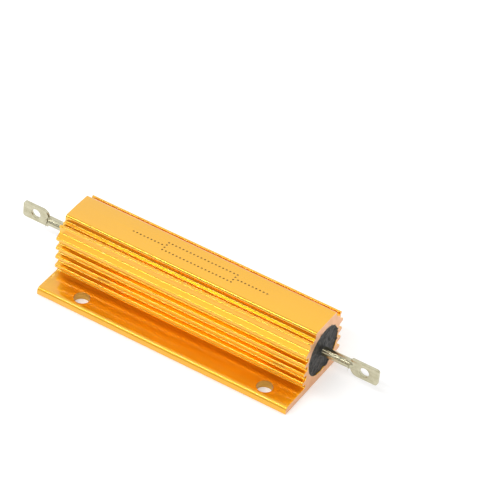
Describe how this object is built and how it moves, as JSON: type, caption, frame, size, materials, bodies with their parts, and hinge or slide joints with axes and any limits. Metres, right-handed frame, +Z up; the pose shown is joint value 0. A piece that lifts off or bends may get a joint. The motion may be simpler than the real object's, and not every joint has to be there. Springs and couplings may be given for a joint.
{
  "type": "aluminium housed power resistor",
  "caption": "Wirewound power resistor in a finned aluminium body with a drilled mounting flange along one side and a flat lug with a wiring hole at each end.",
  "frame": {"origin": "middle of the footprint on the base face", "axes": "+X along the body from the left lug to the right lug, +Z up from the base, the mounting flange towards -Y"},
  "size_m": [0.1288, 0.0312, 0.0227],
  "materials": {
    "gold_anodised": "gold anodised, satin, with bare sawn ends",
    "ceramic": "unglazed",
    "resistance_wire": "drawn resistance alloy",
    "cap_steel": "plated",
    "cement": "cast silicone cement",
    "black_compound": "cast, slightly rough",
    "tinned_terminal": "tinned, satin"
  },
  "bodies": {
    "root": {"housing": "gold_anodised", "ceramic_core": "ceramic", "resistance_winding": "resistance_wire", "left_end_cap": "cap_steel", "right_end_cap": "cap_steel", "filler": "cement", "left_seal": "black_compound", "right_seal": "black_compound", "left_terminal": "tinned_terminal", "right_terminal": "tinned_terminal"}
  },
  "joints": []
}
